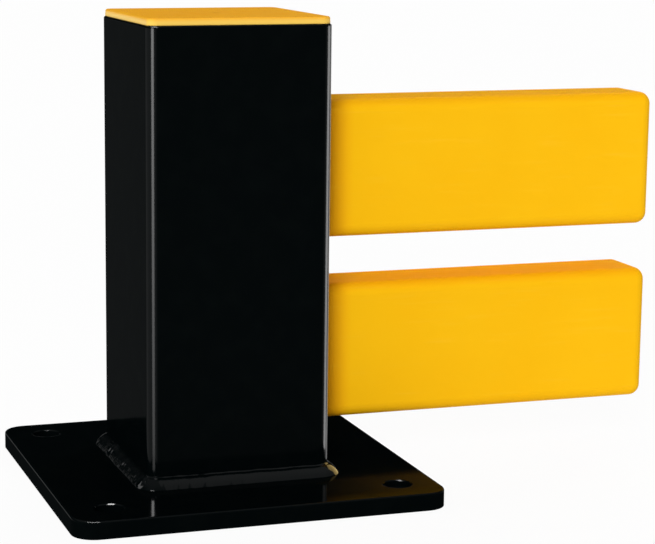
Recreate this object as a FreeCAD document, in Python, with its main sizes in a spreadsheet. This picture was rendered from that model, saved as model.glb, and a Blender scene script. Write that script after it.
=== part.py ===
import FreeCAD, Part
import enum
import math
import os
import Sketcher

# A floor-fixed barrier post: a square steel tube welded to an anchor plate, closed by a moulded cap.
# Two moulded rails enter one wall of the tube and are locked inside it by a loose upright rod.
# Millimetres. The origin is the middle of the plate's underside, +Z is up, the rails leave along +X.

SIZES = {
    # Anchor plate
    "plate_side": 320.0,
    "plate_thickness": 15.0,
    "plate_corner_radius": 20.0,
    "plate_edge_rounding": 2.0,
    "anchor_edge_distance": 35.0,
    "anchor_hole_diameter": 24.0,
    "anchor_hole_chamfer": 1.0,
    # Square tube
    "tube_side": 160.0,
    "tube_wall": 5.0,
    "tube_inner_radius": 4.0,
    "tube_rim_rounding": 2.0,
    # Weld round the foot of the tube
    "weld_leg": 11.0,
    "weld_crown": 1.4,
    # Rails and the cut-outs that they enter by
    "rail_height": 120.0,
    "rail_depth": 64.0,
    "rail_reach": 323.0,
    "rail_edge_radius": 11.0,
    "rail_end_radius": 10.0,
    "rail_inner_chamfer": 4.0,
    "rail_inner_gap": 2.0,
    "rail_gap": 41.0,
    "slot_clearance": 1.0,
    # Locking rod, its socket on the plate and its guide strap under the cap
    "rod_diameter": 20.0,
    "rod_chamfer": 2.0,
    "rod_stand_out": 12.0,
    "rod_rail_clearance": 0.5,
    "rod_seat_clearance": 0.25,
    "pull_hole_diameter": 6.0,
    "socket_wall": 6.0,
    "socket_height": 30.0,
    "socket_lead_in": 2.0,
    "socket_rail_gap": 6.0,
    "guide_width": 40.0,
    "guide_thickness": 8.0,
    "guide_rail_gap": 22.0,
    "guide_skirt_gap": 13.0,
    # Push-in cap
    "cap_thickness": 6.0,
    "cap_inset": 1.2,
    "cap_draft": 3.0,
    "cap_edge_rounding": 2.0,
    "skirt_depth": 25.0,
    "skirt_wall": 3.0,
    "skirt_clearance": 0.4,
    "grip_rib_width": 4.0,
    "grip_rib_spacing": 80.0,
    "cross_rib_thickness": 3.0,
    "cross_rib_depth": 10.0,
    "gate_mark_diameter": 8.0,
    "gate_mark_depth": 0.5,
}

# Levels from the floor up, as expressions of the sheet: what stands in the tube sets the tube's height
PLATE_TOP = "Sizes.plate_thickness"
LOWER_RAIL_FOOT = f"{PLATE_TOP} + Sizes.socket_height + Sizes.socket_rail_gap"
UPPER_RAIL_FOOT = f"{LOWER_RAIL_FOOT} + Sizes.rail_height + Sizes.rail_gap"
GUIDE_TOP = f"{UPPER_RAIL_FOOT} + Sizes.rail_height + Sizes.guide_rail_gap + Sizes.guide_thickness"
TUBE_TOP = f"{GUIDE_TOP} + Sizes.guide_skirt_gap + Sizes.skirt_depth"
CAP_TOP = f"{TUBE_TOP} + Sizes.cap_thickness"

# The tube's section
TUBE_HALF = "Sizes.tube_side / 2"
TUBE_BORE = "Sizes.tube_side - 2 * Sizes.tube_wall"
TUBE_CORNER = "Sizes.tube_inner_radius + Sizes.tube_wall"

doc = FreeCAD.newDocument("BarrierPost")
sheet = doc.addObject("Spreadsheet::Sheet", "Sizes")
for row, (alias, size) in enumerate(SIZES.items(), start=1):
    sheet.set(f"A{row}", alias)
    sheet.set(f"B{row}", str(size))
    sheet.setAlias(f"B{row}", alias)
doc.recompute()

bodies = []


def value(expression):
    """The number that an expression of the sheet comes to."""
    return sheet.evalExpression(expression)


def new_body(name):
    body = doc.addObject("PartDesign::Body", name)
    body.Label = name
    bodies.append(body)
    return body


def origin_feature(body, role):
    return next(f for f in body.Origin.OriginFeatures if f.Role == role)


def new_sketch(body, name, plane, **offsets):
    """A sketch on one of the body's origin planes, moved along the plane's own x, y and z axes."""
    sketch = body.newObject("Sketcher::SketchObject", name)
    sketch.AttachmentSupport = [(origin_feature(body, plane), "")]
    sketch.MapMode = "FlatFace"
    for axis, expression in offsets.items():
        sketch.setExpression(f"AttachmentOffset.Base.{axis}", expression)
    return sketch


def dimension(sketch, expression, *constraint):
    """Adds a driving dimension whose value follows an expression."""
    index = sketch.addConstraint(Sketcher.Constraint(*constraint))
    name = f"size_{index}"
    sketch.renameConstraint(index, name)
    sketch.setExpression(f"Constraints.{name}", expression)


class At(enum.IntEnum):
    """The points of a line or arc, as the sketcher numbers them."""
    START = 1
    END = 2
    MIDDLE = 3


# The sketch's own origin: the first point of its first axis
ORIGIN = (-1, At.START)

# A first guess at a drawn shape, which its dimensions then resize
GUESS_HALF = 50.0
GUESS_RADIUS = 10.0
GUESS_BULGE = 6.0

SIDES = 4
UPRIGHT = FreeCAD.Vector(0, 0, 1)


def point(x, y):
    return FreeCAD.Vector(x, y, 0)


def square_up(sketch, right, top, left, bottom):
    for line in (right, left):
        sketch.addConstraint(Sketcher.Constraint("Vertical", line))
    for line in (top, bottom):
        sketch.addConstraint(Sketcher.Constraint("Horizontal", line))


def set_spans(sketch, right, top, left, bottom, width, height):
    dimension(sketch, width, "DistanceX", left, At.START, right, At.END, 2 * GUESS_HALF)
    dimension(sketch, height, "DistanceY", bottom, At.START, top, At.START, 2 * GUESS_HALF)


def rectangle(sketch, width, height):
    """A rectangle centred on the sketch's origin."""
    corners = [(1, -1), (1, 1), (-1, 1), (-1, -1)]
    points = [point(x * GUESS_HALF, y * GUESS_HALF) for x, y in corners]
    lines = []
    for i in range(SIDES):
        lines.append(sketch.addGeometry(Part.LineSegment(points[i], points[(i + 1) % SIDES])))
    for i in range(SIDES):
        following = lines[(i + 1) % SIDES]
        sketch.addConstraint(Sketcher.Constraint("Coincident", lines[i], At.END, following, At.START))
    right, top, left, bottom = lines
    square_up(sketch, *lines)
    sketch.addConstraint(Sketcher.Constraint("Symmetric", right, At.START, left, At.START, *ORIGIN))
    set_spans(sketch, *lines, width, height)


def rounded_rectangle(sketch, width, height, radius):
    """A rectangle with rounded corners, centred on the sketch's origin."""
    flat = GUESS_HALF - GUESS_RADIUS
    quarter = math.radians(90)
    lines = []
    arcs = []
    for side in range(SIDES):
        turn = FreeCAD.Rotation(UPRIGHT, 90 * side)
        line_start = turn.multVec(point(GUESS_HALF, -flat))
        line_end = turn.multVec(point(GUESS_HALF, flat))
        corner = Part.Circle(turn.multVec(point(flat, flat)), UPRIGHT, GUESS_RADIUS)
        lines.append(sketch.addGeometry(Part.LineSegment(line_start, line_end)))
        arcs.append(sketch.addGeometry(Part.ArcOfCircle(corner, quarter * side, quarter * (side + 1))))
    for i in range(SIDES):
        following = lines[(i + 1) % SIDES]
        sketch.addConstraint(Sketcher.Constraint("Tangent", lines[i], At.END, arcs[i], At.START))
        sketch.addConstraint(Sketcher.Constraint("Tangent", arcs[i], At.END, following, At.START))
    square_up(sketch, *lines)
    first_arc, second_arc, opposite_arc, last_arc = arcs
    for other in (second_arc, opposite_arc, last_arc):
        sketch.addConstraint(Sketcher.Constraint("Equal", first_arc, other))
    centres = (first_arc, At.MIDDLE, opposite_arc, At.MIDDLE)
    sketch.addConstraint(Sketcher.Constraint("Symmetric", *centres, *ORIGIN))
    dimension(sketch, radius, "Radius", first_arc, GUESS_RADIUS)
    set_spans(sketch, *lines, width, height)


def circle(sketch, diameter):
    """A circle centred on the sketch's origin."""
    ring = sketch.addGeometry(Part.Circle(point(0, 0), UPRIGHT, GUESS_RADIUS))
    sketch.addConstraint(Sketcher.Constraint("Coincident", ring, At.MIDDLE, *ORIGIN))
    dimension(sketch, diameter, "Diameter", ring, 2 * GUESS_RADIUS)


def pad(body, sketch, length, reverse=False, draft=None):
    feature = body.newObject("PartDesign::Pad", f"{sketch.Name}Pad")
    feature.Profile = sketch
    feature.setExpression("Length", length)
    feature.Reversed = reverse
    if draft:
        feature.setExpression("TaperAngle", draft)
    doc.recompute()
    return feature


def pocket(body, sketch, depth=None, reverse=False, both_ways=False):
    """A cut to a depth, or through everything on one side or both sides of the sketch."""
    feature = body.newObject("PartDesign::Pocket", f"{sketch.Name}Cut")
    feature.Profile = sketch
    feature.Reversed = reverse
    feature.Midplane = both_ways
    if depth:
        feature.setExpression("Length", depth)
    else:
        feature.Type = "ThroughAll"
    doc.recompute()
    return feature


def four_round(body, feature):
    """Repeats a feature on all four sides of the post's axis."""
    pattern = body.newObject("PartDesign::PolarPattern", f"{feature.Name}Four")
    pattern.Originals = [feature]
    pattern.Axis = (origin_feature(body, "Z_Axis"), [""])
    pattern.Occurrences = SIDES
    body.Tip = pattern
    doc.recompute()


def edge_break(body, kind, name, size, wanted):
    """A Fillet or Chamfer on every edge of the body's last feature that passes a test."""
    base = body.Tip
    names = [f"Edge{i}" for i, edge in enumerate(base.Shape.Edges, start=1) if wanted(edge)]
    feature = body.newObject(f"PartDesign::{kind}", name)
    feature.Base = (base, names)
    feature.setExpression("Radius" if kind == "Fillet" else "Size", size)
    body.Tip = feature
    doc.recompute()


NEAR = 1e-4


def lies_flat(edge, axis, place):
    """True if the whole edge lies in the plane where X, Y or Z has the given value."""
    low = getattr(edge.BoundBox, f"{axis}Min")
    high = getattr(edge.BoundBox, f"{axis}Max")
    return abs(low - place) < NEAR and abs(high - place) < NEAR


def reaches_out(edge):
    """How far the edge's box reaches from the post's axis in X or Y."""
    box = edge.BoundBox
    return max(abs(box.XMin), abs(box.XMax), abs(box.YMin), abs(box.YMax))


# Anchor plate: cut from steel plate, its upper edge rounded off, with four anchor holes near the corners
plate = new_body("base_plate")
outline = new_sketch(plate, "PlateOutline", "XY_Plane")
rounded_rectangle(outline, "Sizes.plate_side", "Sizes.plate_side", "Sizes.plate_corner_radius")
pad(plate, outline, "Sizes.plate_thickness")
anchor_place = "Sizes.plate_side / 2 - Sizes.anchor_edge_distance"
anchor = new_sketch(plate, "AnchorHole", "XY_Plane", x=anchor_place, y=anchor_place)
circle(anchor, "Sizes.anchor_hole_diameter")
four_round(plate, pocket(plate, anchor, reverse=True))


def on_hole_mouth(edge):
    return edge.isClosed() and lies_flat(edge, "Z", value(PLATE_TOP))


def on_plate_outline(edge):
    return not edge.isClosed() and lies_flat(edge, "Z", value(PLATE_TOP))


edge_break(plate, "Chamfer", "AnchorHoleMouths", "Sizes.anchor_hole_chamfer", on_hole_mouth)
edge_break(plate, "Fillet", "PlateEdges", "Sizes.plate_edge_rounding", on_plate_outline)

# Square tube: cold-formed hollow section standing on the plate, its upper rim rounded off
tube = new_body("post_tube")
section = new_sketch(tube, "TubeSection", "XY_Plane", z=PLATE_TOP)
rounded_rectangle(section, "Sizes.tube_side", "Sizes.tube_side", TUBE_CORNER)
rounded_rectangle(section, TUBE_BORE, TUBE_BORE, "Sizes.tube_inner_radius")
pad(tube, section, f"{TUBE_TOP} - {PLATE_TOP}")


def on_outer_rim(edge):
    outside = reaches_out(edge) > value(f"{TUBE_HALF} - Sizes.tube_wall / 2")
    return outside and lies_flat(edge, "Z", value(TUBE_TOP))


edge_break(tube, "Fillet", "RimRounding", "Sizes.tube_rim_rounding", on_outer_rim)

# Cut-outs in the +X wall: each rail rests on the lower edge of its own, with play at the sides and top
RAILS = {"lower_rail": LOWER_RAIL_FOOT, "upper_rail": UPPER_RAIL_FOOT}
slot_width = "Sizes.rail_depth + 2 * Sizes.slot_clearance"
slot_height = "Sizes.rail_height + Sizes.slot_clearance"
for name, rail_foot in RAILS.items():
    slot = new_sketch(tube, f"{name}_slot", "YZ_Plane", y=f"{rail_foot} + ({slot_height}) / 2")
    rounded_rectangle(slot, slot_width, slot_height, "Sizes.rail_edge_radius")
    pocket(tube, slot, reverse=True)

# Foot weld: one run all round the tube, a triangular fillet with a slightly raised face
weld = new_body("foot_weld")
weld_path = new_sketch(weld, "WeldPath", "XY_Plane", z=PLATE_TOP)
rounded_rectangle(weld_path, "Sizes.tube_side", "Sizes.tube_side", TUBE_CORNER)
run_start = f"{TUBE_HALF} - ({TUBE_CORNER})"
bead = new_sketch(weld, "WeldBead", "XZ_Plane", x=TUBE_HALF, y=PLATE_TOP, z=run_start)
root, tube_toe, plate_toe = point(0, 0), point(0, GUESS_RADIUS), point(GUESS_RADIUS, 0)
tube_leg = bead.addGeometry(Part.LineSegment(tube_toe, root))
plate_leg = bead.addGeometry(Part.LineSegment(root, plate_toe))
face = bead.addGeometry(Part.Arc(plate_toe, point(GUESS_BULGE, GUESS_BULGE), tube_toe))
bead.addConstraint(Sketcher.Constraint("Coincident", tube_leg, At.END, *ORIGIN))
bead.addConstraint(Sketcher.Constraint("Coincident", plate_leg, At.START, *ORIGIN))
bead.addConstraint(Sketcher.Constraint("Vertical", tube_leg))
bead.addConstraint(Sketcher.Constraint("Horizontal", plate_leg))
bead.addConstraint(Sketcher.Constraint("Coincident", face, At.START, plate_leg, At.END))
bead.addConstraint(Sketcher.Constraint("Coincident", face, At.END, tube_leg, At.START))
dimension(bead, "Sizes.weld_leg", "DistanceY", tube_leg, At.END, tube_leg, At.START, GUESS_RADIUS)
dimension(bead, "Sizes.weld_leg", "DistanceX", plate_leg, At.START, plate_leg, At.END, GUESS_RADIUS)
face_radius = "(Sizes.weld_leg ^ 2 / 2 + Sizes.weld_crown ^ 2) / (2 * Sizes.weld_crown)"
dimension(bead, face_radius, "Radius", face, 2 * GUESS_RADIUS)
doc.recompute()
weld_run = weld.newObject("PartDesign::AdditivePipe", "WeldRun")
weld_run.Profile = bead
weld_run.Spine = weld_path
doc.recompute()

# Rails: solid moulded beams with rounded edges and outer ends, drilled upright for the locking rod
RAIL_START = f"Sizes.tube_wall + Sizes.rail_inner_gap - {TUBE_HALF}"
RAIL_END = f"{TUBE_HALF} + Sizes.rail_reach"


def on_inner_end(edge):
    return lies_flat(edge, "X", value(RAIL_START))


def on_outer_end(edge):
    return lies_flat(edge, "X", value(RAIL_END))


for name, rail_foot in RAILS.items():
    rail = new_body(name)
    rail_middle = f"{rail_foot} + Sizes.rail_height / 2"
    rail_section = new_sketch(rail, f"{name}_section", "YZ_Plane", y=rail_middle, z=RAIL_START)
    rounded_rectangle(rail_section, "Sizes.rail_depth", "Sizes.rail_height", "Sizes.rail_edge_radius")
    pad(rail, rail_section, f"{RAIL_END} - ({RAIL_START})")
    edge_break(rail, "Fillet", f"{name}_end", "Sizes.rail_end_radius", on_outer_end)
    edge_break(rail, "Chamfer", f"{name}_lead", "Sizes.rail_inner_chamfer", on_inner_end)
    rod_hole = new_sketch(rail, f"{name}_rod_hole", "XY_Plane", z=rail_middle)
    circle(rod_hole, "Sizes.rod_diameter + 2 * Sizes.rod_rail_clearance")
    pocket(rail, rod_hole, both_ways=True)

# Rod socket: a turned ring welded to the plate, with a lead-in that finds the rod's foot
SEAT_DIAMETER = "Sizes.rod_diameter + 2 * Sizes.rod_seat_clearance"
socket = new_body("rod_socket")
ring = new_sketch(socket, "SocketRing", "XY_Plane", z=PLATE_TOP)
circle(ring, SEAT_DIAMETER)
circle(ring, f"{SEAT_DIAMETER} + 2 * Sizes.socket_wall")
pad(socket, ring, "Sizes.socket_height")


def on_socket_mouth(edge):
    inside = reaches_out(edge) < value(f"({SEAT_DIAMETER} + Sizes.socket_wall) / 2")
    return inside and lies_flat(edge, "Z", value(f"{PLATE_TOP} + Sizes.socket_height"))


edge_break(socket, "Chamfer", "SocketLeadIn", "Sizes.socket_lead_in", on_socket_mouth)

# Guide strap: a flat bar welded between the front and back walls, which holds the rod's top upright
guide = new_body("rod_guide")
strap = new_sketch(guide, "GuideStrap", "XY_Plane", z=GUIDE_TOP)
rectangle(strap, "Sizes.guide_width", TUBE_BORE)
circle(strap, SEAT_DIAMETER)
pad(guide, strap, "Sizes.guide_thickness", reverse=True)

# Locking rod: round bar dropped through guide, rails and socket, cross-drilled at its top for a hook
rod = new_body("locking_rod")
bar = new_sketch(rod, "RodBar", "XY_Plane", z=PLATE_TOP)
circle(bar, "Sizes.rod_diameter")
pad(rod, bar, f"{GUIDE_TOP} - {PLATE_TOP} + Sizes.rod_stand_out")


def on_rod_end(edge):
    return isinstance(edge.Curve, Part.Circle)


edge_break(rod, "Chamfer", "RodEnds", "Sizes.rod_chamfer", on_rod_end)
pull_hole = new_sketch(rod, "PullHole", "XZ_Plane", y=f"{GUIDE_TOP} + Sizes.rod_stand_out / 2")
circle(pull_hole, "Sizes.pull_hole_diameter")
pocket(rod, pull_hole, both_ways=True)

# Cap: one moulding, a flat lid with a drafted and rounded edge that seats on the rim of the tube
cap = new_body("top_cap")
lid = new_sketch(cap, "CapLid", "XY_Plane", z=TUBE_TOP)
lid_side = "Sizes.tube_side - 2 * Sizes.cap_inset"
rounded_rectangle(lid, lid_side, lid_side, f"{TUBE_CORNER} - Sizes.cap_inset")
pad(cap, lid, "Sizes.cap_thickness", draft="-Sizes.cap_draft")


def on_lid_edge(edge):
    return lies_flat(edge, "Z", value(CAP_TOP))


edge_break(cap, "Fillet", "CapEdge", "Sizes.cap_edge_rounding", on_lid_edge)

# Under the lid: a skirt that plugs the tube, grip ribs that bear on its walls, and a stiffening cross
skirt = new_sketch(cap, "CapSkirt", "XY_Plane", z=TUBE_TOP)
skirt_side = f"{TUBE_BORE} - 2 * Sizes.skirt_clearance"
skirt_bore = f"{skirt_side} - 2 * Sizes.skirt_wall"
rounded_rectangle(skirt, skirt_side, skirt_side, "Sizes.tube_inner_radius - Sizes.skirt_clearance")
rectangle(skirt, skirt_bore, skirt_bore)
pad(cap, skirt, "Sizes.skirt_depth", reverse=True)
rib_place = f"({TUBE_BORE} - Sizes.skirt_clearance) / 2"
for rib, sign in (("LeftGripRib", "-"), ("RightGripRib", "")):
    rib_along = f"{sign}Sizes.grip_rib_spacing / 2"
    grip_rib = new_sketch(cap, rib, "XY_Plane", x=rib_place, y=rib_along, z=TUBE_TOP)
    rectangle(grip_rib, "Sizes.skirt_clearance", "Sizes.grip_rib_width")
    four_round(cap, pad(cap, grip_rib, "Sizes.skirt_depth", reverse=True))
across, along = skirt_bore, "Sizes.cross_rib_thickness"
for rib, width, height in (("CrossRibX", across, along), ("CrossRibY", along, across)):
    cross_rib = new_sketch(cap, rib, "XY_Plane", z=TUBE_TOP)
    rectangle(cross_rib, width, height)
    pad(cap, cross_rib, "Sizes.cross_rib_depth", reverse=True)

# Gate mark: the shallow round dimple that the mould leaves in the middle of the lid
gate_mark = new_sketch(cap, "GateMark", "XY_Plane", z=CAP_TOP)
circle(gate_mark, "Sizes.gate_mark_diameter")
pocket(cap, gate_mark, depth="Sizes.gate_mark_depth")

# Every piece is sound before any file is written
doc.recompute()
for item in doc.Objects:
    if "Invalid" in item.State or "Error" in item.State:
        raise RuntimeError(f"{item.Name} failed: {item.State}")
for body in bodies:
    if body.Shape.isNull() or not body.Shape.isValid() or len(body.Shape.Solids) != 1:
        raise RuntimeError(f"{body.Label} is not one valid solid")
os.makedirs("parts", exist_ok=True)
for body in bodies:
    body.Shape.exportStep(f"parts/{body.Label}.step")
    print(f"{body.Label}: {body.Shape.Volume / 1000:.1f} cm3")
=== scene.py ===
import math

import bmesh
import bpy
from mathutils import Matrix, Vector
from mathutils.noise import noise as hills


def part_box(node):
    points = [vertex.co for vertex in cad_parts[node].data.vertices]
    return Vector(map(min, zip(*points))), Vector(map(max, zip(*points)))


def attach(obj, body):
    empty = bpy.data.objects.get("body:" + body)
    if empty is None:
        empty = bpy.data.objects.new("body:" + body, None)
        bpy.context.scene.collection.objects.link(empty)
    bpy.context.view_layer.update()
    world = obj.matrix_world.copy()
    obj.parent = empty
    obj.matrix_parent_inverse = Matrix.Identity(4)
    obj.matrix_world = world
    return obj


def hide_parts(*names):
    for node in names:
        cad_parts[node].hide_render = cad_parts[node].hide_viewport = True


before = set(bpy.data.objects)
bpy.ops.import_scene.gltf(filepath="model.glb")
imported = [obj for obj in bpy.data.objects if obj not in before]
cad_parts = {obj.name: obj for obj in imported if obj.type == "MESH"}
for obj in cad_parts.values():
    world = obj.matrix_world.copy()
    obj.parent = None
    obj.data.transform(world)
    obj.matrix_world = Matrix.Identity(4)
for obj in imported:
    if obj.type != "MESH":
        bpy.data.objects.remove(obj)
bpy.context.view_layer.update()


# Anchor plate: a square of 15 mm steel plate with rounded corners and four drilled anchor holes.
# It is welded to the tube and powder-coated black together with it, so plate, tube and weld share one skin:
# a hard, glossy coat with the faint orange peel and the fine dust that such a coat always shows.
COAT_BLACK = (0.0007, 0.0016, 0.0018, 1.0)
COAT_DUSTED = (0.0012, 0.0022, 0.0023, 1.0)
DUST_PATCH = 0.02
DUST_RANGE = (0.45, 0.75)
NOISE_MIDDLE = (0.3, 0.7)
COAT_PATCH = 0.01
COAT_ROUGHNESS = (0.42, 0.55)
COAT_SMOOTHNESS = 0.10
EDGE_BUILD_UP = 0.0008
PEEL_SIZE = 0.0024
PEEL_DEPTH = 0.000012
WAVE_SIZE = 0.03
WAVE_DEPTH = 0.00006
SIDE_GLOSS = 0.007
EDGE_GLOSS = 0.2
SIDE_SLOPE = (0.1, 0.35)


def new_finish(name):
    """A node material and its shader."""
    finish = bpy.data.materials.new(name)
    finish.use_nodes = True
    return finish, finish.node_tree.nodes["Principled BSDF"]


def add_node(finish, kind, **settings):
    """A node with its sockets set by name, where an underscore stands for a space."""
    node = finish.node_tree.nodes.new(kind)
    for socket, setting in settings.items():
        node.inputs[socket.replace("_", " ")].default_value = setting
    return node


def grain(finish, size, detail=2.0, stretch=(1.0, 1.0, 1.0)):
    """The value of a noise with grains of about this size in metres, in the object's own space."""
    place = add_node(finish, "ShaderNodeTexCoord")
    scaled = add_node(finish, "ShaderNodeMapping", Scale=stretch)
    speckle = add_node(finish, "ShaderNodeTexNoise", Scale=1.0 / size, Detail=detail)
    finish.node_tree.links.new(place.outputs["Object"], scaled.inputs["Vector"])
    finish.node_tree.links.new(scaled.outputs["Vector"], speckle.inputs["Vector"])
    return speckle.outputs["Fac"]


def between(finish, value, low, high, first, second):
    """Maps a value from low..high to first..second, numbers or colours."""
    if isinstance(first, tuple):
        ramp = add_node(finish, "ShaderNodeValToRGB")
        ramp.color_ramp.elements[0].position = low
        ramp.color_ramp.elements[1].position = high
        ramp.color_ramp.elements[0].color = first
        ramp.color_ramp.elements[1].color = second
        finish.node_tree.links.new(value, ramp.inputs["Fac"])
        return ramp.outputs["Color"]
    spread = add_node(finish, "ShaderNodeMapRange", From_Min=low, From_Max=high, To_Min=first, To_Max=second)
    finish.node_tree.links.new(value, spread.inputs["Value"])
    return spread.outputs["Result"]


def relief(finish, height, depth, base=None):
    """A bump of this depth in metres, laid over another one."""
    bump = add_node(finish, "ShaderNodeBump", Strength=1.0, Distance=depth)
    finish.node_tree.links.new(height, bump.inputs["Height"])
    if base:
        finish.node_tree.links.new(base, bump.inputs["Normal"])
    return bump.outputs["Normal"]


def lie_of(finish, axis):
    """How far the surface faces along an axis, either way: 1 square to it, 0 along it."""
    lie = add_node(finish, "ShaderNodeNewGeometry")
    parts = add_node(finish, "ShaderNodeSeparateXYZ")
    size = add_node(finish, "ShaderNodeMath")
    size.operation = "ABSOLUTE"
    finish.node_tree.links.new(lie.outputs["Normal"], parts.inputs["Vector"])
    finish.node_tree.links.new(parts.outputs[axis], size.inputs[0])
    return size.outputs[0]


def black_powder_coat(name):
    """The coat without its gloss, which differs from piece to piece."""
    coat, shader = new_finish(name)
    link = coat.node_tree.links.new
    shader.inputs["Specular IOR Level"].default_value = 0.0
    shader.inputs["Coat Roughness"].default_value = COAT_SMOOTHNESS
    dust = grain(coat, DUST_PATCH, detail=6.0)
    link(between(coat, dust, *DUST_RANGE, COAT_BLACK, COAT_DUSTED), shader.inputs["Base Color"])
    dulling = grain(coat, COAT_PATCH)
    link(between(coat, dulling, *NOISE_MIDDLE, *COAT_ROUGHNESS), shader.inputs["Roughness"])
    softened = add_node(coat, "ShaderNodeBevel", Radius=EDGE_BUILD_UP)
    orange_peel = relief(coat, grain(coat, PEEL_SIZE), PEEL_DEPTH, softened.outputs["Normal"])
    wavy = relief(coat, grain(coat, WAVE_SIZE, detail=1.0), WAVE_DEPTH, orange_peel)
    link(wavy, shader.inputs["Normal"])
    link(wavy, shader.inputs["Coat Normal"])
    return coat, shader


def dress(piece, finish):
    """Gives a piece this material and no other."""
    piece.data.materials.clear()
    piece.data.materials.append(finish)


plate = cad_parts["base_plate"]
plate_coat, plate_shader = black_powder_coat("plate_coat")
plate_gloss = between(plate_coat, lie_of(plate_coat, "Z"), *SIDE_SLOPE, SIDE_GLOSS, EDGE_GLOSS)
plate_coat.node_tree.links.new(plate_gloss, plate_shader.inputs["Coat Weight"])
dress(plate, plate_coat)

# Post tube: a cold-formed square hollow section with rounded corners, standing on the plate.
# Its upper rim is ground round for the cap, and the coat runs over it unbroken, thicker on the corners.
FACE_GLOSS = 0.021
FACE_FLATNESS = (0.955, 0.995)
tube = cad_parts["post_tube"]
powder_coat, powder_shader = black_powder_coat("black_powder_coat")
larger = add_node(powder_coat, "ShaderNodeMath")
larger.operation = "MAXIMUM"
powder_coat.node_tree.links.new(lie_of(powder_coat, "X"), larger.inputs[0])
powder_coat.node_tree.links.new(lie_of(powder_coat, "Y"), larger.inputs[1])
tube_gloss = between(powder_coat, larger.outputs[0], *FACE_FLATNESS, EDGE_GLOSS, FACE_GLOSS)
powder_coat.node_tree.links.new(tube_gloss, powder_shader.inputs["Coat Weight"])
dress(tube, powder_coat)

# Foot weld: one hand-laid fillet run all round the tube, coated with it, so its ripples are softened.
# The left side shows the overlapping scales best; the run starts and ends in a small heap at the back there.
# Each sway below is given by its hills to the metre and its own place in the noise.
MILLIMETRE = 0.001
plate_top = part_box("base_plate")[1].z
tube_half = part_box("post_tube")[1].x
weld_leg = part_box("foot_weld")[1].z - plate_top
TUBE_CORNER = 9 * MILLIMETRE
WELD_STEP = 0.5 * MILLIMETRE
WELD_SINK = 0.15 * MILLIMETRE
WELD_CROWN = 1.3 * MILLIMETRE
FACE_POINTS = 21
FACE_TILT = math.sqrt(0.5)
FOOT_SHARE = 0.91
FOOT_WANDER = 0.07
FOOT_UNEVEN = 0.04
CLIMB_SHARE = 0.90
CLIMB_WANDER = 0.06
WANDER_SWAY = (60, 3.1, 0)
UNEVEN_SWAY = (150, 7.7, 0)
CLIMB_SWAY = (80, 1.3, 4)
SCALE_PITCH = 4.6 * MILLIMETRE
SCALE_HEIGHT = 0.5 * MILLIMETRE
SCALE_MEAN = 0.6
SCALE_BOW = 0.55
PITCH_UNEVEN = 0.25
LUMP_HEIGHT = 0.45 * MILLIMETRE
LUMP_SWAY = (90, 2.4)
LUMPS_ACROSS = 3
LEFT_SIDE = (0.2, 0.9)
RIPPLE_ELSEWHERE = 0.15
UNDERCUT_DEPTH = 0.5 * MILLIMETRE
UNDERCUT_PLACE = 0.85
UNDERCUT_WIDTH = 0.05
UNDERCUT_MEAN = 0.8
UNDERCUT_UNEVEN = 0.6
UNDERCUT_SWAY = (110, 5.2, 8)
START_HEAP = Vector((-tube_half, 0.035, 0))
HEAP_REACH = 9 * MILLIMETRE
HEAP_FOOT = 0.06
HEAP_CLIMB = 0.08
HEAP_CROWN = 0.8


def tube_outline(step):
    """Points round the tube's foot with their outward directions and the length run so far."""
    flat = tube_half - TUBE_CORNER
    track = []
    run = 0.0
    for side in range(4):
        turn = Matrix.Rotation(math.radians(90 * side), 3, "Z")
        count = round(2 * flat / step)
        for i in range(count):
            along = -flat + 2 * flat * i / count
            track.append((turn @ Vector((tube_half, along, 0)), turn @ Vector((1, 0, 0)), run))
            run += 2 * flat / count
        arc = TUBE_CORNER * math.pi / 2
        count = round(arc / step)
        for i in range(count):
            angle = math.pi / 2 * i / count
            out = Vector((math.cos(angle), math.sin(angle), 0))
            track.append((turn @ (Vector((flat, flat, 0)) + TUBE_CORNER * out), turn @ out, run))
            run += arc / count
    return track


def smooth_step(low, high, value):
    """From 0 to 1 as a value goes from low to high, with soft ends."""
    share = min(max((value - low) / (high - low), 0.0), 1.0)
    return share * share * (3 - 2 * share)


def sway(run, waves, lane, height):
    """An irregular swing between about -1 and 1 along the run."""
    return hills(Vector((run * waves, lane, height)))


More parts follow.
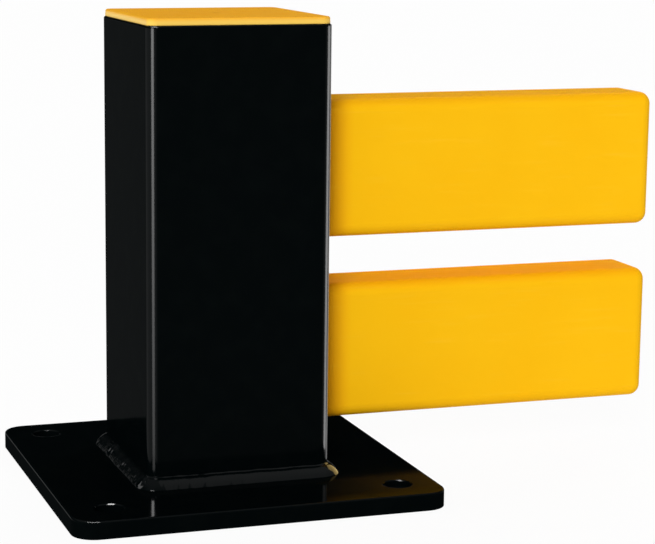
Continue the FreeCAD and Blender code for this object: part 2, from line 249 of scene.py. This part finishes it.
def weld_section(place, out, run):
    """One cross-section of the bead: two legs sunk into plate and tube, and the rippled face between them."""
    on_left = smooth_step(*LEFT_SIDE, -out.x)
    wander = sway(run, *WANDER_SWAY)
    uneven = sway(run, *UNEVEN_SWAY)
    heap = math.exp(-((place - START_HEAP).length / HEAP_REACH) ** 2)
    foot = weld_leg * (FOOT_SHARE + FOOT_WANDER * wander + FOOT_UNEVEN * uneven + HEAP_FOOT * heap)
    climb = weld_leg * (CLIMB_SHARE + CLIMB_WANDER * sway(run, *CLIMB_SWAY) + HEAP_CLIMB * heap)
    undercut = UNDERCUT_DEPTH * (UNDERCUT_MEAN + UNDERCUT_UNEVEN * sway(run, *UNDERCUT_SWAY))
    points = []
    for k in range(FACE_POINTS):
        share = k / (FACE_POINTS - 1)
        bulge = math.sin(math.pi * share)
        phase = (run + PITCH_UNEVEN * SCALE_PITCH * uneven) / SCALE_PITCH + SCALE_BOW * (2 * share - 1) ** 2
        scale = abs(math.sin(math.pi * phase)) - SCALE_MEAN
        lump = LUMP_HEIGHT * sway(run, *LUMP_SWAY, LUMPS_ACROSS * share)
        rippled = RIPPLE_ELSEWHERE + (1 - RIPPLE_ELSEWHERE) * on_left
        ripple = rippled * (SCALE_HEIGHT * scale + lump) * bulge
        groove = undercut * math.exp(-((share - UNDERCUT_PLACE) / UNDERCUT_WIDTH) ** 2)
        lift = WELD_CROWN * bulge * (1 + HEAP_CROWN * heap) + ripple - groove
        outward = foot * (1 - share) + lift * FACE_TILT
        upward = climb * share + lift * FACE_TILT
        height = plate_top + min(upward, weld_leg)
        points.append(place + out * min(outward, weld_leg) + Vector((0, 0, height)))
    sunk_foot = place + out * foot + Vector((0, 0, plate_top - WELD_SINK))
    sunk_root = place - out * WELD_SINK + Vector((0, 0, plate_top - WELD_SINK))
    sunk_head = place - out * WELD_SINK + Vector((0, 0, plate_top + climb))
    return [*points, sunk_head, sunk_root, sunk_foot]


def put_in_scene(name, data):
    """A new object in the scene with this mesh, lamp or lens."""
    thing = bpy.data.objects.new(name, data)
    bpy.context.scene.collection.objects.link(thing)
    return thing


def shaped_piece(name, shape):
    """A new object in the scene with a shape that is finished."""
    data = bpy.data.meshes.new(name)
    shape.to_mesh(data)
    shape.free()
    return put_in_scene(name, data)


weld_shape = bmesh.new()
rings = []
for place, out, run in tube_outline(WELD_STEP):
    rings.append([weld_shape.verts.new(point) for point in weld_section(place, out, run)])
for ring, following in zip(rings, rings[1:] + rings[:1]):
    for k in range(len(ring)):
        after = (k + 1) % len(ring)
        weld_shape.faces.new((ring[k], following[k], following[after], ring[after])).smooth = True
bmesh.ops.recalc_face_normals(weld_shape, faces=weld_shape.faces)
weld_bead = shaped_piece("weld_bead", weld_shape)
dress(weld_bead, powder_coat)
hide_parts("foot_weld")
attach(weld_bead, "root")

# Rod socket and guide strap: a turned ring on the plate and a flat bar across the tube, both welded in.
# They hold the locking rod upright and were coated with the post.
dress(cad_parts["rod_socket"], powder_coat)
dress(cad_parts["rod_guide"], powder_coat)

# Locking rod: bright drawn round bar dropped through the rails, with the fine lines of drawing along it.
# It is bare steel, a little dulled by oil and handling.
STEEL_BRIGHT = (0.56, 0.57, 0.58, 1.0)
STEEL_DULL = (0.42, 0.42, 0.41, 1.0)
OIL_PATCH = 0.02
OIL_RANGE = (0.35, 0.7)
STEEL_ROUGHNESS = (0.22, 0.38)
LINE_WIDTH = 0.0008
LINE_RUN = (1.0, 1.0, 0.02)
LINE_DEPTH = 0.00001


def drawn_steel():
    """Bare steel with drawing lines along the rod."""
    steel, shader = new_finish("drawn_steel")
    link = steel.node_tree.links.new
    shader.inputs["Metallic"].default_value = 1.0
    lines = grain(steel, LINE_WIDTH, detail=3.0, stretch=LINE_RUN)
    oil = grain(steel, OIL_PATCH, detail=5.0)
    link(between(steel, oil, *OIL_RANGE, STEEL_BRIGHT, STEEL_DULL), shader.inputs["Base Color"])
    link(between(steel, lines, *NOISE_MIDDLE, *STEEL_ROUGHNESS), shader.inputs["Roughness"])
    link(relief(steel, lines, LINE_DEPTH), shader.inputs["Normal"])
    return steel


dress(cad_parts["locking_rod"], drawn_steel())

# Rails: two moulded plastic beams, coloured through, with rounded edges and a satin skin from the mould.
# They are pushed into the cut-outs of the tube and pinned there by the rod. Their colour is painted a deeper
# yellow on top and next to the tube as painted shade, with faint scuffs along them.
RAIL_YELLOW = (0.93, 0.500, 0.006, 1.0)
RAIL_DEEP = (0.92, 0.480, 0.005, 1.0)
RAIL_PAINTED_TOP_SHADE = (0.93, 0.43, 0.004, 1.0)
RAIL_PAINTED_TUBE_SHADE = (0.88, 0.36, 0.006, 1.0)
RAIL_SCUFFED = (0.94, 0.53, 0.03, 1.0)
RAIL_CLOUD = 0.09
CLOUD_RANGE = (0.35, 0.65)
TOP_SHADE_SLOPE = (0.3, 0.95)
TUBE_SHADE_BAND = (0.015, 0.036)
TUBE_SHADE_SHARE = 0.9
SCUFF_WIDTH = 0.0022
SCUFF_RUN = (0.05, 1.0, 1.0)
SCUFF_RANGE = (0.6, 0.78)
SCUFF_SHARE = 0.3
MOULDED_SHINE = 0.015
RAIL_PATCH = 0.012
RAIL_ROUGHNESS = (0.40, 0.50)
RAIL_SKIN = 0.0006
RAIL_SKIN_DEPTH = 0.000015
RAIL_SINK = 0.025
RAIL_SINK_DEPTH = 0.00004
MIX_COLOUR_UNDER = 6
MIX_COLOUR_OVER = 7
MIX_COLOUR_RESULT = 2


def looks_up(finish, low, high):
    """From 0 to 1 as the surface turns from upright to level and facing up."""
    lie = add_node(finish, "ShaderNodeNewGeometry")
    parts = add_node(finish, "ShaderNodeSeparateXYZ")
    finish.node_tree.links.new(lie.outputs["Normal"], parts.inputs["Vector"])
    return between(finish, parts.outputs["Z"], low, high, 0.0, 1.0)


def laid_over(finish, share, under, over):
    """A colour laid over another one, by a share from 0 to 1; the node's colour sockets go by their place."""
    laid = add_node(finish, "ShaderNodeMix")
    laid.data_type = "RGBA"
    finish.node_tree.links.new(share, laid.inputs["Factor"])
    finish.node_tree.links.new(under, laid.inputs[MIX_COLOUR_UNDER])
    laid.inputs[MIX_COLOUR_OVER].default_value = over
    return laid.outputs[MIX_COLOUR_RESULT]


def satin_yellow():
    """Yellow plastic, painted a deeper yellow on top and next to the tube as painted shade, with faint
    scuffs.
    """
    satin, shader = new_finish("satin_yellow")
    link = satin.node_tree.links.new
    shader.inputs["Specular IOR Level"].default_value = MOULDED_SHINE
    cloud = between(satin, grain(satin, RAIL_CLOUD, detail=4.0), *CLOUD_RANGE, RAIL_YELLOW, RAIL_DEEP)
    # Faces that look up are painted a deeper yellow: painted shade, for the light that falls less on the
    # tops.
    painted_shade_yellow = laid_over(satin, looks_up(satin, *TOP_SHADE_SLOPE), cloud, RAIL_PAINTED_TOP_SHADE)
    place = add_node(satin, "ShaderNodeTexCoord")
    reach = add_node(satin, "ShaderNodeSeparateXYZ")
    link(place.outputs["Object"], reach.inputs["Vector"])
    # A band next to the tube is painted deeper orange: painted shade, where the tube shadows the rails.
    painted_band = [tube_half + way for way in TUBE_SHADE_BAND]
    shade_near_tube = between(satin, reach.outputs["X"], *painted_band, TUBE_SHADE_SHARE, 0.0)
    painted_shade_yellow = laid_over(satin, shade_near_tube, painted_shade_yellow, RAIL_PAINTED_TUBE_SHADE)
    scratches = grain(satin, SCUFF_WIDTH, detail=3.0, stretch=SCUFF_RUN)
    scuffs = between(satin, scratches, *SCUFF_RANGE, 0.0, SCUFF_SHARE)
    link(laid_over(satin, scuffs, painted_shade_yellow, RAIL_SCUFFED), shader.inputs["Base Color"])
    dulling = grain(satin, RAIL_PATCH)
    link(between(satin, dulling, *NOISE_MIDDLE, *RAIL_ROUGHNESS), shader.inputs["Roughness"])
    skin = relief(satin, grain(satin, RAIL_SKIN), RAIL_SKIN_DEPTH)
    link(relief(satin, grain(satin, RAIL_SINK, detail=1.0), RAIL_SINK_DEPTH, skin), shader.inputs["Normal"])
    return satin


satin = satin_yellow()
for rail in ("lower_rail", "upper_rail"):
    dress(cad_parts[rail], satin)

# Cap: a semi-gloss push-in moulding of a slightly redder yellow, with a small gate mark in the middle.
# Its skirt grips the inside of the tube, and only the lid shows, with a painted highlight along its lower
# edge.
CAP_AMBER = (0.92, 0.43, 0.020, 1.0)
CAP_DEEP = (0.90, 0.41, 0.016, 1.0)
CAP_HIGHLIGHT_AND_GATE_PALE = (0.86, 0.55, 0.095, 1.0)
CAP_CLOUD = 0.05
CAP_HIGHLIGHT_BAND = (0.0028, 0.0058)
GATE_MARK = (0.0036, 0.0052)
GATE_MARK_SHARE = 0.45
CAP_LEVEL = (0.9, 0.999)
CAP_SIDE_GLOSS = 0.3
CAP_GLOSS_ROUGHNESS = 0.3
CAP_PATCH = 0.01
CAP_ROUGHNESS = (0.32, 0.42)
CAP_EDGE = 0.002
CAP_SKIN = 0.0007
CAP_SKIN_DEPTH = 0.000012
FLATTENED = (1.0, 1.0, 0.0)
cap_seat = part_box("post_tube")[1].z


def moulded_amber():
    """Amber plastic, glossy on its sides and satin on top."""
    amber, shader = new_finish("moulded_amber")
    link = amber.node_tree.links.new
    shader.inputs["Specular IOR Level"].default_value = MOULDED_SHINE
    shader.inputs["Coat Roughness"].default_value = CAP_GLOSS_ROUGHNESS
    level = looks_up(amber, *CAP_LEVEL)
    link(between(amber, level, 0.0, 1.0, CAP_SIDE_GLOSS, 0.0), shader.inputs["Coat Weight"])
    cloud = between(amber, grain(amber, CAP_CLOUD, detail=4.0), *CLOUD_RANGE, CAP_AMBER, CAP_DEEP)
    place = add_node(amber, "ShaderNodeTexCoord")
    height = add_node(amber, "ShaderNodeSeparateXYZ")
    link(place.outputs["Object"], height.inputs["Vector"])
    # The lid's lower edge is painted paler as a painted highlight; the same pale colour marks the gate.
    painted_band = [cap_seat + rise for rise in CAP_HIGHLIGHT_BAND]
    foot = between(amber, height.outputs["Z"], *painted_band, 1.0, 0.0)
    flattened = add_node(amber, "ShaderNodeMapping", Scale=FLATTENED)
    from_middle = add_node(amber, "ShaderNodeVectorMath")
    from_middle.operation = "LENGTH"
    link(place.outputs["Object"], flattened.inputs["Vector"])
    link(flattened.outputs["Vector"], from_middle.inputs[0])
    gate_mark = between(amber, from_middle.outputs["Value"], *GATE_MARK, GATE_MARK_SHARE, 0.0)
    marked = laid_over(amber, gate_mark, cloud, CAP_HIGHLIGHT_AND_GATE_PALE)
    link(laid_over(amber, foot, marked, CAP_HIGHLIGHT_AND_GATE_PALE), shader.inputs["Base Color"])
    dulling = grain(amber, CAP_PATCH)
    link(between(amber, dulling, *NOISE_MIDDLE, *CAP_ROUGHNESS), shader.inputs["Roughness"])
    softened = add_node(amber, "ShaderNodeBevel", Radius=CAP_EDGE)
    skin = relief(amber, grain(amber, CAP_SKIN), CAP_SKIN_DEPTH, softened.outputs["Normal"])
    link(skin, shader.inputs["Normal"])
    link(skin, shader.inputs["Coat Normal"])
    return amber


dress(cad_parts["top_cap"], moulded_amber())

# Studio floor: a wide, matt white sheet that fills the picture and keeps the post's soft shadow.
# It shows white to the eye and in every reflection, and lights the post only as white paper would.
FLOOR_RADIUS = 100.0
FLOOR_SIDES = 128
FLOOR_WHITE = (0.85, 0.85, 0.85, 1.0)
FLOOR_SHADED = (0.83, 0.83, 0.83, 1.0)
FLOOR_PATCH = 0.5
FLOOR_ROUGHNESS = 0.9
FLOOR_GLOW = 0.94
GLOW_WHITE = (1.0, 1.0, 1.0, 1.0)


def seen_share(finish):
    """1 for what the eye, a gloss or a glass sees, and 0 for the light that falls on matt surfaces."""
    rays = add_node(finish, "ShaderNodeLightPath")
    seen = rays.outputs["Is Camera Ray"]
    for kind in ("Is Glossy Ray", "Is Transmission Ray"):
        either = add_node(finish, "ShaderNodeMath")
        either.operation = "MAXIMUM"
        finish.node_tree.links.new(seen, either.inputs[0])
        finish.node_tree.links.new(rays.outputs[kind], either.inputs[1])
        seen = either.outputs[0]
    return seen


floor_shape = bmesh.new()
bmesh.ops.create_circle(floor_shape, cap_ends=True, segments=FLOOR_SIDES, radius=FLOOR_RADIUS)
studio_floor = shaped_piece("studio_floor", floor_shape)
paper, paper_shader = new_finish("white_paper")
paper_link = paper.node_tree.links.new
paper_shader.inputs["Specular IOR Level"].default_value = 0.0
paper_shader.inputs["Roughness"].default_value = FLOOR_ROUGHNESS
paper_white = between(paper, grain(paper, FLOOR_PATCH), *NOISE_MIDDLE, FLOOR_WHITE, FLOOR_SHADED)
paper_link(paper_white, paper_shader.inputs["Base Color"])
glow = add_node(paper, "ShaderNodeEmission", Color=GLOW_WHITE, Strength=1.0)
glow_share = add_node(paper, "ShaderNodeMath")
glow_share.operation = "MULTIPLY"
glow_share.inputs[1].default_value = FLOOR_GLOW
paper_link(seen_share(paper), glow_share.inputs[0])
both = add_node(paper, "ShaderNodeMixShader")
paper_link(glow_share.outputs[0], both.inputs["Fac"])
paper_link(paper_shader.outputs["BSDF"], both.inputs[1])
paper_link(glow.outputs["Emission"], both.inputs[2])
paper_out = paper.node_tree.nodes["Material Output"]
paper_link(both.outputs["Shader"], paper_out.inputs["Surface"])
dress(studio_floor, paper)

# Studio room and lamps: a dim room, white along the horizon and softly lit from overhead, with a large
# softbox left of the camera and weaker ones behind and at both sides. The softboxes don't show in the gloss,
# because a mirrored one would turn the plate white from behind.
ROOM_DARK = 0.005
ROOM_TOP = 0.5
ROOM_RISE = (0.3, 0.95)
ROOM_WHITE = 0.97
HORIZON_BAND = (0.02, 0.045)
room = bpy.data.worlds.new("studio_room")
bpy.context.scene.world = room
room.use_nodes = True
room_link = room.node_tree.links.new
background = room.node_tree.nodes["Background"]
background.inputs["Color"].default_value = GLOW_WHITE
direction = add_node(room, "ShaderNodeTexCoord")
parts = add_node(room, "ShaderNodeSeparateXYZ")
room_link(direction.outputs["Generated"], parts.inputs["Vector"])
overhead = add_node(room, "ShaderNodeMapRange", From_Min=ROOM_RISE[0], From_Max=ROOM_RISE[1],
                    To_Min=ROOM_DARK, To_Max=ROOM_TOP)
overhead.interpolation_type = "SMOOTHSTEP"
room_link(parts.outputs["Z"], overhead.inputs["Value"])
horizon = add_node(room, "ShaderNodeMath")
horizon.operation = "MULTIPLY_ADD"
room_link(between(room, parts.outputs["Z"], *HORIZON_BAND, ROOM_WHITE, 0.0), horizon.inputs[0])
room_link(seen_share(room), horizon.inputs[1])
room_link(overhead.outputs["Result"], horizon.inputs[2])
room_link(horizon.outputs[0], background.inputs["Strength"])


def far_softbox(name, azimuth, elevation, breadth, strength):
    """A large, far lamp: azimuth 0 stands before the post's front, and the breadth is the angle it fills."""
    lamp = bpy.data.lights.new(name, "SUN")
    lamp.energy = strength
    lamp.angle = math.radians(breadth)
    softbox = put_in_scene(name, lamp)
    softbox.rotation_euler = (math.radians(90 - elevation), 0, math.radians(azimuth))
    softbox.visible_glossy = False


far_softbox("key_light", azimuth=-27, elevation=24, breadth=21, strength=2.42)
far_softbox("back_light", azimuth=140, elevation=22, breadth=40, strength=1.9)
far_softbox("left_light", azimuth=-95, elevation=15, breadth=40, strength=1.0)
far_softbox("right_light", azimuth=90, elevation=5, breadth=30, strength=0.35)

# Gloss cards: lit upright cards round the post, as a photographer sets them up for black, shiny things.
# Each shows only in the gloss of the pieces it is meant for, and draws their bright lines and glints.
CARD_WHITE = (1.0, 1.0, 1.0)
CARD_TAN = (1.0, 0.72, 0.27)
CORNER_LINE_PLACE = Vector((0.0038, 0.0012, 0))
front_left = Vector((-tube_half, -tube_half, 0))
front_right = Vector((tube_half, -tube_half, 0))


def lit_together(name, *pieces):
    """A set of pieces that a card lights, and nothing else."""
    lit = bpy.data.collections.new(name)
    for piece in pieces:
        lit.objects.link(piece)
    return lit


def gloss_card(name, lit, corner, azimuth, distance, width,
               low, high, power, foot_share=1.0, tint=CARD_WHITE):
    """A card off a corner of the post, facing it, and dimmed at its foot to a share of its light."""
    lamp = bpy.data.lights.new(name, "AREA")
    lamp.shape = "RECTANGLE"
    lamp.size = width
    lamp.size_y = high - low
    lamp.energy = power
    lamp.color = tint
    lamp.use_nodes = True
    spot = add_node(lamp, "ShaderNodeNewGeometry")
    parts = add_node(lamp, "ShaderNodeSeparateXYZ")
    fade = add_node(lamp, "ShaderNodeMapRange", To_Min=foot_share)
    emission = lamp.node_tree.nodes["Emission"]
    lamp.node_tree.links.new(spot.outputs["Parametric"], parts.inputs["Vector"])
    lamp.node_tree.links.new(parts.outputs["Y"], fade.inputs["Value"])
    lamp.node_tree.links.new(fade.outputs["Result"], emission.inputs["Strength"])
    card = put_in_scene(name, lamp)
    turn = math.radians(azimuth)
    back = Vector((math.sin(turn), -math.cos(turn), 0))
    card.location = Vector((corner.x, corner.y, (low + high) / 2)) + back * distance
    card.rotation_euler = back.to_track_quat("Z", "Y").to_euler()
    card.visible_camera = False
    card.visible_diffuse = False
    card.light_linking.receiver_collection = lit


tube_alone = lit_together("tube_alone", tube)
weld_alone = lit_together("weld_alone", weld_bead)
plate_alone = lit_together("plate_alone", plate)
plate_and_tube = lit_together("plate_and_tube", plate, tube)

# The bright lines down the tube's two front corners.
gloss_card("left_card", tube_alone, front_left, azimuth=-43, distance=0.05, width=0.027,
           low=0.0, high=0.405, power=0.727, foot_share=0.15)
gloss_card("right_card", tube_alone, front_right, azimuth=79, distance=0.12, width=0.07,
           low=0.0, high=0.415, power=1.7, foot_share=0.9)
gloss_card("back_card", tube_alone, front_right, azimuth=125, distance=0.045, width=0.06,
           low=0.0, high=0.415, power=0.24, foot_share=0.9)

# The rail's yellow in the weld's right end, and the scales on its left side.
gloss_card("rail_card", weld_alone, front_right, azimuth=112, distance=0.06, width=0.05,
           low=0.015, high=0.085, power=0.12, tint=CARD_TAN)
gloss_card("scale_card", weld_alone, front_left, azimuth=-125, distance=0.5, width=0.2,
           low=0.15, high=0.35, power=0.8)

# The tube's bright left line as the plate mirrors it: a strip on the line itself, turned outward.
corner_line = front_left + CORNER_LINE_PLACE
gloss_card("line_card", plate_alone, corner_line, azimuth=155, distance=-0.001, width=0.002,
           low=0.026, high=0.12, power=0.0018)

# The grey front of the weld and its glints, and the glints on the hole mouths and the tube's rim.
gloss_card("face_card", weld_alone, front_right, azimuth=48, distance=0.5, width=1.0,
           low=0.25, high=3.0, power=5.5)
gloss_card("key_card", weld_alone, front_left, azimuth=-35, distance=1.2, width=0.45,
           low=0.42, high=0.87, power=14.6)
gloss_card("top_card", plate_and_tube, front_left, azimuth=-35, distance=0.5, width=1.0,
           low=1.1, high=2.0, power=240)

# Camera: a long lens at the height and angle of the photograph, whose frame is 655 by 544 pixels.
# Its place and lens were worked out from the edges of plate, tube and rails.
FRAME_WIDTH = 655
PRINCIPAL_X = 275.0
HALF_PIXEL = 0.5
FOCAL_PIXELS = 2084.419
CAMERA_PLACE = Vector((-0.500168, -1.71424, 0.501312))
CAMERA_YAW = -0.31362
CAMERA_PITCH = 0.17709
CAMERA_ROLL = -0.00707
lens = bpy.data.cameras.new("photo_camera")
lens.sensor_fit = "HORIZONTAL"
lens.lens = FOCAL_PIXELS * lens.sensor_width / FRAME_WIDTH
lens.shift_x = (FRAME_WIDTH / 2 - (PRINCIPAL_X + HALF_PIXEL)) / FRAME_WIDTH
camera = put_in_scene("photo_camera", lens)
level = math.cos(CAMERA_PITCH)
ahead = Vector((-math.sin(CAMERA_YAW) * level, math.cos(CAMERA_YAW) * level, -math.sin(CAMERA_PITCH)))
right = ahead.cross(Vector((0, 0, 1))).normalized()
down = ahead.cross(right)
rolled_right = math.cos(CAMERA_ROLL) * right + math.sin(CAMERA_ROLL) * down
rolled_up = math.sin(CAMERA_ROLL) * right - math.cos(CAMERA_ROLL) * down
axes = Matrix((rolled_right, rolled_up, -ahead)).transposed()
camera.matrix_world = Matrix.Translation(CAMERA_PLACE) @ axes.to_4x4()
bpy.context.scene.camera = camera
bpy.context.scene.view_settings.view_transform = "Standard"
